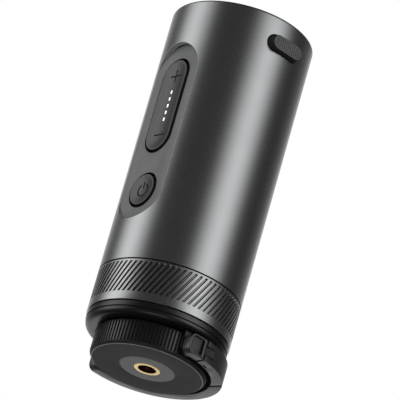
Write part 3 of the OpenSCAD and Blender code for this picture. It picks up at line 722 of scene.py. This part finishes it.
class PUMP_OT_tube(PumpPiece, bpy.types.Operator):
    """Turns the metal tube and cuts its panel window, port seat and screw seats"""

    bl_idname = "pump.tube"
    bl_label = "Body tube"

    def execute(self, context):
        tube = lathe("pump_tube", [
            (BODY_R - 0.5, TUBE_Z), (BODY_R - 0.5, TUBE_Z + FOOT_H),
            (BODY_R, TUBE_Z + FOOT_H, 0.04), (BODY_R, TOP_Z, 1.0), (LIP_R, TOP_Z, 0.4),
            (LIP_R, TOP_Z - LIP_T), (BORE_R, TOP_Z - LIP_T), (BORE_R, TUBE_Z)],
            around=240, steps=8)
        tube.data.materials.append(FINISHES["tube"])
        half_length, half_width = PANEL_HALF + 0.01, PANEL_HW + 0.01
        window = pill("window", half_width, half_length, 13.5, BODY_R + 1, PANEL_MID, around=128)
        seat = pill("seat", 2.75, 6.35, SEAT_X, BODY_R + 2, PORT_Z, '+X')
        throat = pill("throat", 1.8, 4.7, 16, BODY_R, PORT_Z, '+X', around=48)
        carve(tube, window, seat, throat)
        screw = lathe("screw_seat", [
            (0, TOP_Z + 0.3), (1.4, TOP_Z + 0.3), (1.4, TOP_Z), (0.9, TOP_Z - 0.8),
            (0.9, TOP_Z - 4), (0, TOP_Z - 4)], around=40, closed=False)
        screw.location.x = PLATE_SCREW_R * MM
        carve(tube, copies(settle(screw), SCREW_TURNS))

        def on_window(v):
            return pill_edge(v, half_width, half_length, PANEL_MID)

        def in_window(face):
            sideways = abs(face.normal.xy.normalized().dot(centre(face).xy.normalized())) < 0.9
            return centre(face).y < -13 and sideways and all(
                radius_of(v) < BODY_R - 0.02 and on_window(v) for v in face.verts)

        def in_seat(face):
            x, y, z = centre(face)
            on_floor = face.normal.x > 0.99 and abs(x - SEAT_X) < 0.02
            return ((abs(face.normal.x) < 0.5 or on_floor)
                    and x > 15 and abs(y) < 6.6 and abs(z - PORT_Z) < 3)

        soften(tube, SMALL_EDGE, lambda e: all(
            v.co.y < -15 * MM and radius_of(v) > BODY_R - 0.05 and on_window(v)
            for v in e.verts), segments=2)
        # painted light: the window's walls get a lighter grey so that they read as lit
        paint(tube, FINISHES["window"], in_window)
        # painted shade: the recess round the tube's foot is painted near-black
        paint(tube, FINISHES["plug_side"], lambda f: all(
            v.co.z < (TUBE_Z + FOOT_H + 0.02) * MM and radius_of(v) > BORE_R + 0.5
            for v in f.verts))
        # painted shade: the port seat is painted near-black
        paint(tube, FINISHES["plug_side"], in_seat)
        piece(tube, "housing", "tube_metal", "body_tube", angle=14)
        return {'FINISHED'}


class PUMP_OT_panel(PumpPiece, bpy.types.Operator):
    """Makes the control panel with its button holes, board posts and axle cheeks"""

    bl_idname = "pump.panel"
    bl_label = "Control panel"

    def execute(self, context):
        panel = pill("pump_panel", PANEL_HW, PANEL_HALF, PANEL_Y - 2, PANEL_Y, PANEL_MID,
                     around=128)
        panel.data.materials.append(FINISHES["panel"])
        rocker_hole = pill("rocker_hole", BUTTON_HW + 0.5, ROCKER_HALF + 0.5, 14, CUT_Y, ROCKER_Z)
        power_hole = pill("power_hole", BUTTON_HW + 0.5, 0, 14, CUT_Y, POWER_Z)
        carve(panel, rocker_hole, power_hole)
        # painted shade: the walls of the button holes are painted near-black
        paint(panel, FINISHES["button_side"], lambda f: is_side(f)
              and abs(centre(f).x) < BUTTON_HW + 0.6
              and PANEL_Z0 + 2 < centre(f).z < PANEL_Z1 - 2)
        soften(panel, SMALL_EDGE, lambda e: all(
            abs(v.co.y + PANEL_Y * MM) < 1e-5
            and not pill_edge(v, PANEL_HW, PANEL_HALF, PANEL_MID) for v in e.verts)
            and len(e.link_faces) == 2 and e.calc_face_angle(0) > 1, segments=2)
        posts = []
        for z in (PANEL_Z0 + 4.5, ROCKER_Z - ROCKER_HALF - 4.45, PANEL_Z1 - 3.8):
            for x in (-POST_X, POST_X):
                board_post = pill("board_post", 1.05, 0, 14.45, PANEL_Y - 1.9, z, around=32)
                board_post.location.x = x * MM
                posts.append(settle(board_post))
        for s in (-1, 1):
            x = sorted(s * x for x in CHEEK_X)
            posts.append(block("axle_cheek", x, (-17.6, -16.2), (ROCKER_Z - 2, ROCKER_Z + 2)))
        carve(panel, *posts, join=True)
        piece(panel, "housing", "panel_plastic", "control_panel")
        return {'FINISHED'}


def shape_button(obj, half_length, middle, rings=7, core=0.5):
    """Narrows a button towards its front, rounds its rim, and sinks a dish in it, ring by ring.
    The dish ends in a flat middle as wide as the core."""
    obj.data.materials.append(FINISHES["button"])
    edit(obj)
    pick('VERT', lambda v: v.co.y < -(RIM_Y - 0.05) * MM)
    bpy.ops.transform.resize(
        value=(1 - DRAFT / BUTTON_HW, 1, 1 - DRAFT / half_length),
        center_override=(0, -RIM_Y * MM, middle * MM))
    leave()
    soften(obj, SMALL_EDGE, lambda e: all(abs(v.co.y + RIM_Y * MM) < 1e-5 for v in e.verts))
    edit(obj)
    pick('FACE', lambda f: f.normal.y < -0.99 and len(f.verts) > 20
         and f.calc_center_median().y < -(RIM_Y - 0.05) * MM)
    bpy.ops.mesh.inset(thickness=DISH_RIM * MM)
    span = BUTTON_HW - DRAFT - SMALL_EDGE - DISH_RIM
    before = 0.0
    for k in range(1, rings + 1):
        away = span + (core - span) * k / rings
        sunk = DISH * (1 - (away / span) ** 2)
        bpy.ops.mesh.inset(thickness=(span - core) / rings * MM)
        bpy.ops.transform.translate(value=(0, (sunk - before) * MM, 0))
        before = sunk
    leave()
    # painted shade: the button's side walls are painted near-black
    paint(obj, FINISHES["button_side"], is_side)


class PUMP_OT_rocker(PumpPiece, bpy.types.Operator):
    """Makes the dished level rocker with its engraved plus and minus and its light windows"""

    bl_idname = "pump.rocker"
    bl_label = "Level rocker"

    def execute(self, context):
        rocker = pill("pump_level_rocker", BUTTON_HW, ROCKER_HALF, BACK_Y, RIM_Y, ROCKER_Z)
        shape_button(rocker, ROCKER_HALF, ROCKER_Z)
        stroke = sizes().sign_width / MM / 2
        thin, long = (-stroke, stroke), (-SIGN_HALF, SIGN_HALF)
        face = RIM_Y - DISH
        deep = (-CUT_Y, -face + 0.2)
        signs = [
            block("plus_bar", long, deep, (PLUS_Z - stroke, PLUS_Z + stroke)),
            block("plus_post", thin, deep, (PLUS_Z - SIGN_HALF, PLUS_Z + SIGN_HALF)),
            block("minus_bar", long, deep, (MINUS_Z - stroke, MINUS_Z + stroke))]
        for sign in signs:
            sign.data.materials.append(FINISHES["sign"])
        carve(rocker, *signs)
        places = [(0, 0, ROCKER_Z + i * LIGHT_PITCH) for i in range(-2, 3)]
        window = pill("light_hole", 0.29, 0.58, 18.0, CUT_Y, 0, around=24)
        carve(rocker, copies(window, places))
        piece(rocker, "rocker", "button_plastic", "level_rocker")

        light = pill("light", 0.25, 0.54, 18.3, face + 0.06, 0, around=24)
        soften(light, 0.08, lambda e: all(
            v.co.y < -(face + 0.05) * MM for v in e.verts), segments=2)
        lights = copies(light, places)
        lights.name = lights.data.name = "pump_level_lights"
        piece(lights, "rocker", "light_plastic", "level_lights")
        return {'FINISHED'}


class PUMP_OT_power(PumpPiece, bpy.types.Operator):
    """Makes the dished round power button with its engraved sign"""

    bl_idname = "pump.power"
    bl_label = "Power button"

    def execute(self, context):
        button = pill("pump_power_button", BUTTON_HW, 0, BACK_Y, RIM_Y, POWER_Z, around=128)
        shape_button(button, BUTTON_HW, POWER_Z, core=0.3)
        flange = pill("flange", BUTTON_HW + 1.1, 0, BACK_Y, PANEL_Y - 2.05, POWER_Z, around=128)
        carve(button, flange, join=True)
        stroke = sizes().sign_width / MM / 2
        floor = RIM_Y - DISH - 0.2
        ring = self.broken_ring(2.0, stroke, floor)
        stem = block("power_stem", (-stroke, stroke), (-CUT_Y, -floor),
                     (POWER_Z + 0.5, POWER_Z + 2.5))
        for sign in (ring, stem):
            sign.data.materials.append(FINISHES["sign"])
        carve(button, ring, stem)
        piece(button, "power", "button_plastic", "power_button")
        return {'FINISHED'}

    def broken_ring(self, radius, stroke, floor):
        """A ring with a gap at its top, for cutting the sign."""
        gap = math.radians(62)
        choose()
        bpy.ops.mesh.primitive_plane_add(size=1)
        obj = bpy.context.object
        obj.scale = (2 * stroke * MM, (CUT_Y - floor) * MM, 1)
        obj.location = (radius * MM, -(CUT_Y + floor) / 2 * MM, 0)
        obj = named("power_ring")
        edit(obj)
        bpy.ops.mesh.select_all(action='SELECT')
        bpy.ops.mesh.spin(steps=48, angle=2 * math.pi - gap, center=(0, 0, 0), axis=(0, 1, 0))
        tidy_shell()
        leave()
        # the spin starts at +X, so the open part is turned to the top
        places = [v.co for v in obj.data.vertices]
        mean = sum(places, Vector()) / len(places)
        obj.rotation_euler = (0, -math.atan2(-mean.x, -mean.z), 0)
        obj.location = (0, 0, POWER_Z * MM)
        return settle(obj)


class PUMP_OT_port_plug(PumpPiece, bpy.types.Operator):
    """Makes the rubber plug of the charging port with its ribbed face"""

    bl_idname = "pump.port_plug"
    bl_label = "Port plug"

    def execute(self, context):
        x0, x1 = 20.54, high("port_plug", 0)
        plug = pill("pump_port_plug", 2.5, 6.1, x0, x1, PORT_Z, '+X')
        plug.data.materials.append(FINISHES["plug"])

        def in_front(v):
            return v.co.x > (x1 - 0.01) * MM

        edit(plug)
        pick('VERT', in_front)
        bpy.ops.transform.resize(value=(1, 0.94, 0.88), center_override=(x1 * MM, 0, PORT_Z * MM))
        leave()
        # painted shade: the plug's sides are painted near-black
        paint(plug, FINISHES["plug_side"], lambda f: abs(f.normal.x) < 0.5)
        soften(plug, 0.3, lambda e: all(in_front(v) for v in e.verts))
        for half, steps in ((1.75, range(-5, 6)), (1.2, (-6, 6))):
            groove = block("groove", (x1 - 0.16, x1 + 1), (-0.15, 0.15), (-half, half))
            carve(plug, copies(groove, [(0, y * 0.8, PORT_Z) for y in steps]))
        stem = pill("stem", 1.1, 4.1, low("port_plug", 0), x0 + 0.5, PORT_Z, '+X', around=48)
        carve(plug, stem, join=True)
        piece(plug, "plug", "plug_rubber", "port_plug")
        return {'FINISHED'}


def across(face):
    """How far a face looks round the Z axis, rather than away from it."""
    place = face.calc_center_median()
    return face.normal.dot(Vector((-place.y, place.x, 0)).normalized())


def press_columns(obj, count, z0, z1, factor, lean=None, share=(0.35, 0.7)):
    """Pushes in the columns of vertices in one share of the pitch, between two heights."""
    pitch = 2 * math.pi / count

    def between(v):
        z = v.co.z / MM
        if not z0 < z < z1 or radius_of(v) < WALL_R:
            return False
        angle = math.atan2(v.co.y, v.co.x) - (lean(z) if lean else 0)
        return share[0] < (angle / pitch + 0.01) % 1 < share[1]

    edit(obj)
    pick('VERT', between)
    bpy.ops.transform.resize(value=(factor, factor, 1), center_override=(0, 0, 0))
    leave()


class PUMP_OT_grip_ring(PumpPiece, bpy.types.Operator):
    """Turns the lock ring and raises its slanted ribs"""

    bl_idname = "pump.grip_ring"
    bl_label = "Grip ring"

    def execute(self, context):
        s = sizes()
        rib0, rib1 = RING_Z + 2.55, RING_TOP - 0.55

        def lean(z):
            part = min(max((z - rib0) / (rib1 - rib0), 0), 1)
            return s.grip_slant * part

        outer = [(BODY_R, RING_Z, 0.06), (BODY_R, rib0), (BODY_R, rib0 + 0.25)]
        outer += [(BODY_R, rib0 + (rib1 - rib0) * k / 7) for k in range(1, 7)]
        outer += [(BODY_R, rib1 - 0.25), (BODY_R, rib1), (BODY_R, RING_TOP, 0.06)]
        ring = lathe("pump_grip_ring", outer + [(RING_BORE_R, RING_TOP), (RING_BORE_R, RING_Z)],
                     around=6 * s.grip_ribs, steps=3, lean=lean)
        ring.data.materials.append(FINISHES["ring"])
        press_columns(ring, s.grip_ribs, rib0 + 0.1, rib1 - 0.1,
                      1 - s.grip_depth / (BODY_R * MM), lean, (0.45, 0.75))

        def grooved(face):
            return any(20.5 < radius_of(v) < BODY_R - 0.2 and rib0 < v.co.z / MM < rib1
                       for v in face.verts)

        # painted shade: the groove floors get a darker metal
        paint(ring, FINISHES["ring_floor"], lambda f: abs(across(f)) < 0.15 and grooved(f))
        # painted shade: the groove walls that face one way round the ring are painted near-black
        paint(ring, FINISHES["ring_groove"], lambda f: across(f) > 0.15 and grooved(f))
        piece(ring, "lock_ring", "ring_metal", "grip_ring", angle=28)
        return {'FINISHED'}


class PUMP_OT_base(PumpPiece, bpy.types.Operator):
    """Turns the base with its groove and rounded bottom and adds the hook's lugs"""

    bl_idname = "pump.base"
    bl_label = "Base"

    def execute(self, context):
        base = lathe("pump_base", [
            (BAND_R - 0.4, BASE_TOP), (12.9, BASE_TOP), (12.9, 3.5, 0.2), (14.45, 3.5, 0.2),
            (14.45, BASE_Z), (BAND_R - 0.12, BASE_Z, 1.8), (BAND_R - 0.12, 10.02, 0.03),
            (BAND_R - 0.5, 10.02), (BAND_R - 0.5, 10.35), (BAND_R, 10.35, 0.05),
            (BAND_R, BASE_TOP - 0.28, 0.05), (BAND_R - 0.4, BASE_TOP - 0.28)],
            around=192, steps=6)
        base.data.materials.append(FINISHES["base"])
        # painted shade: the base's two grooves are painted near-black
        paint(base, FINISHES["plug_side"], lambda f:
              BAND_R - 0.6 < radius_of_face(f) < BAND_R - 0.13
              and (9.9 < centre(f).z < 10.4 or BASE_TOP - 0.32 < centre(f).z < BASE_TOP - 0.05))
        for side in (-1, 1):
            lug = pill("lug", 3.0, 5.3, 17.7, 18.8, 6.55, around=64)
            lug.rotation_euler = (0, 0, side * math.pi / 2)
            lug.location = (0, -1.3 * MM, 0)
            carve(base, settle(lug), join=True)
        seat = lathe("base_screw_seat", [
            (0, 7.5), (1.8, 7.5), (1.8, BASE_Z), (1.0, BASE_Z + 1.2), (1.0, 13), (0, 13)],
            around=40, closed=False)
        seat.location.x = BASE_SCREW_R * MM
        carve(base, copies(settle(seat), SCREW_TURNS))
        piece(base, "housing", "base_metal", "base_plate", angle=30)
        return {'FINISHED'}


class PUMP_OT_screw_cap(PumpPiece, bpy.types.Operator):
    """Turns the screw cap with its knurl, its pad and its tapped brass insert"""

    bl_idname = "pump.screw_cap"
    bl_label = "Screw cap"

    def execute(self, context):
        s = sizes()
        knurl0, knurl1 = 1.08, 7.6
        cap = lathe("pump_screw_cap", [
            (PAD_R, 1.0), (PAD_R, 0, 0.12), (CAP_R - 0.95, 0, 0.1), (CAP_R - 0.75, 0.16, 0.06),
            (CAP_R - 0.1, 0.9, 0.15), (CAP_R - 0.1, 1.05), (CAP_R, 1.12), (CAP_R, 1.4),
            (CAP_R, 7.3), (CAP_R, 7.5), (CAP_R - 0.4, CAP_H, 0.1),
            (14.5, CAP_H), (14.5, 2.6), (5.55, 2.6), (5.55, INSERT_H), (INSERT_R, INSERT_H),
            (INSERT_R, 1.0)], around=5 * s.cap_teeth, steps=3)
        cap.data.materials.append(FINISHES["cap"])
        press_columns(cap, s.cap_teeth, knurl0, knurl1, 1 - s.cap_depth / (CAP_R * MM))
        # painted shade: the knurl's grooves are painted near-black
        paint(cap, FINISHES["cap_groove"], lambda f: any(
            WALL_R < radius_of(v) < CAP_R - 0.2 and knurl0 < v.co.z / MM < knurl1
            for v in f.verts))
        # painted shade: the chamfer below the knurl is painted near-black too
        paint(cap, FINISHES["cap_groove"], lambda f: centre(f).z < 1.0
              and radius_of_face(f) > CAP_R - 0.85)
        # painted highlight: the chamfer round the face is painted a lighter grey
        paint(cap, FINISHES["cap_rim"], lambda f: centre(f).z < 0.17
              and -0.99 < f.normal.z < -0.1 and CAP_R - 1.1 < radius_of_face(f) < CAP_R - 0.7)
        paint(cap, FINISHES["cap_face"], lambda f: f.normal.z < -0.99 and centre(f).z < 0.05)
        piece(cap, "cap", "cap_metal", "screw_cap", angle=28)

        pad = lathe("pump_cap_pad", [
            (PAD_R - 0.04, 0.02, 0.15), (PAD_R - 0.04, 1.0), (INSERT_R, 1.0),
            (INSERT_R, 0.02, 0.1)], around=128, steps=3)
        piece(pad, "cap", "pad_rubber", "cap_pad")

        insert = lathe("pump_tripod_insert", [
            (INSERT_R, 0, 0.15), (INSERT_R, INSERT_H, 0.1), (3.1, INSERT_H), (3.1, 0.5),
            (2.75, 0.15, 0.05), (2.75, 0, 0.08)], around=96, steps=3)
        insert.data.materials.append(FINISHES["brass"])
        # painted shade: the bore is painted a dark brass
        paint(insert, FINISHES["bore"], lambda f: centre(f).z > 0.1 and radius_of_face(f) < 3.3)
        piece(insert, "cap", "insert_brass", "tripod_insert")
        piece(self.thread(), "cap", "insert_brass")
        return {'FINISHED'}

    def thread(self):
        """The thread in the insert: a ridge wound up along the bore."""
        pitch, crest, root = 1.27, 2.6, 3.12
        choose()
        bpy.ops.mesh.primitive_circle_add(vertices=3, radius=MM, fill_type='NGON')
        obj = named("pump_insert_thread")
        corners = [(crest, 0), (root, -pitch * 0.44), (root, pitch * 0.44)]
        for v, (r, z) in zip(obj.data.vertices, corners):
            v.co = Vector((r, 0, z + 1.1)) * MM
        modify(obj, 'SCREW', screw_offset=pitch * MM, iterations=4, steps=48, render_steps=48)
        # painted shade: the thread gets the bore's dark brass
        obj.data.materials.append(FINISHES["bore"])
        edit(obj)
        tidy_shell()
        leave()
        return obj


class PUMP_OT_hook(PumpPiece, bpy.types.Operator):
    """Makes the hanging hook, its nose and its gate with rounded edges"""

    bl_idname = "pump.hook"
    bl_label = "Hanging hook"

    def execute(self, context):
        for node, body in (("hook_arc", "hook"), ("hook_nose", "hook"), ("hook_gate", "gate")):
            part = from_frame(node, "pump_" + node)
            soften(part, sizes().edge / MM, segments=3, angle=35)
            piece(part, body, "hook_metal", node)
        return {'FINISHED'}


class PUMP_OT_outlet(PumpPiece, bpy.types.Operator):
    """Makes the outlet plate with its intake slots, the outlet nozzle and the plate's screws"""

    bl_idname = "pump.outlet"
    bl_label = "Outlet end"

    def execute(self, context):
        z0, z1 = low("outlet_plate", 2), high("outlet_plate", 2)
        plate = lathe("pump_outlet_plate", [
            (0, z0), (19.9, z0), (19.9, z0 + 3), (LIP_R - 0.1, z0 + 3), (LIP_R - 0.1, z1, 0.3),
            (0, z1)], around=160, closed=False)
        plate.data.materials.append(FINISHES["black"])
        carve(plate, post("nozzle_hole", 8.42, z0 - 1, z1 + 1, y=FAN_Y, around=96))
        slot = pill("intake_slot", 0.75, 1.45, z0 - 1, z1 + 1, 0, around=24)
        slot.rotation_euler = (-math.pi / 2, 0, math.pi / 2)
        slot.location = (INTAKE_R * MM, 0, 0)
        slots = copies(settle(slot), [2 * math.pi * i / INTAKE_SLOTS for i in range(INTAKE_SLOTS)])
        slots.location.y = FAN_Y * MM
        carve(plate, settle(slots))
        carve(plate, *[post("plate_hole", 0.82, z0 + 0.6, z1 + 2, PLATE_SCREW_R * math.cos(a),
                            PLATE_SCREW_R * math.sin(a)) for a in SCREW_TURNS])
        piece(plate, "housing", "black_plastic", "outlet_plate")

        n0, n1 = low("outlet_nozzle", 2), high("outlet_nozzle", 2)
        nozzle = lathe("pump_outlet_nozzle", [
            (9.9, n0), (9.9, n0 + 1.2, 0.2), (8.4, n0 + 1.2), (8.4, z1), (7.9, z1),
            (7.9, n1, 0.5), (6.0, n1, 0.5), (6.0, n0)], around=128)
        nozzle.location.y = FAN_Y * MM
        piece(settle(nozzle), "housing", "black_plastic", "outlet_nozzle")

        screw = lathe("screw", [
            (0, TOP_Z - 4.7), (0.8, TOP_Z - 4.7), (0.8, TOP_Z - 0.8), (1.28, TOP_Z, 0.06),
            (0, TOP_Z)], around=40, closed=False)
        screw.data.materials.append(FINISHES["steel"])
        long, thin, deep = (-0.8, 0.8), (-0.16, 0.16), (TOP_Z - 0.45, TOP_Z + 1)
        carve(screw, block("cross", long, thin, deep), block("cross", thin, long, deep))
        screw.location.x = PLATE_SCREW_R * MM
        screws = copies(settle(screw), SCREW_TURNS)
        screws.name = screws.data.name = "pump_outlet_screws"
        piece(screws, "housing", "steel", "outlet_screws")
        return {'FINISHED'}


class PUMP_OT_inner_parts(PumpPiece, bpy.types.Operator):
    """Gives the frame's own parts, which stay as they are, their finishes"""

    bl_idname = "pump.inner_parts"
    bl_label = "Inner parts"

    def execute(self, context):
        slots = {row["node"]: row["material_slot"] for row in frame["record"]["subparts"]}
        for node, obj in frame["nodes"].items():
            finish = FINISHES[NODE_FINISH.get(node, SLOT_FINISH[slots[node]])]
            if not obj.material_slots:
                obj.data.materials.append(finish)
            for place in obj.material_slots:
                place.material = finish
        return {'FINISHED'}


class PUMP_PT_sidebar(bpy.types.Panel):
    """Lists the pump's settings and pieces"""

    bl_idname = "PUMP_PT_sidebar"
    bl_label = "Air Pump"
    bl_space_type = 'VIEW_3D'
    bl_region_type = 'UI'
    bl_category = "Air Pump"

    def draw(self, context):
        for group in (context.scene.pump_sizes, context.scene.pump_colours):
            for name in group.__annotations__:
                self.layout.prop(group, name)
        for operator in OPERATORS:
            self.layout.operator(operator.bl_idname)


OPERATORS = (
    PUMP_OT_stage, PUMP_OT_inner_parts, PUMP_OT_tube, PUMP_OT_panel, PUMP_OT_rocker,
    PUMP_OT_power, PUMP_OT_port_plug, PUMP_OT_grip_ring, PUMP_OT_base, PUMP_OT_screw_cap,
    PUMP_OT_hook, PUMP_OT_outlet,
)
CLASSES = (PumpSizes, PumpColours, *OPERATORS, PUMP_PT_sidebar)


def register():
    for cls in CLASSES:
        bpy.utils.register_class(cls)
    bpy.types.Scene.pump_sizes = bpy.props.PointerProperty(type=PumpSizes)
    bpy.types.Scene.pump_colours = bpy.props.PointerProperty(type=PumpColours)


def unregister():
    del bpy.types.Scene.pump_sizes
    del bpy.types.Scene.pump_colours
    for cls in reversed(CLASSES):
        bpy.utils.unregister_class(cls)


def main():
    register()
    make_finishes()
    for operator in OPERATORS:
        group, name = operator.bl_idname.split(".")
        getattr(getattr(bpy.ops, group), name)()
    choose()


if __name__ == "__main__":
    main()
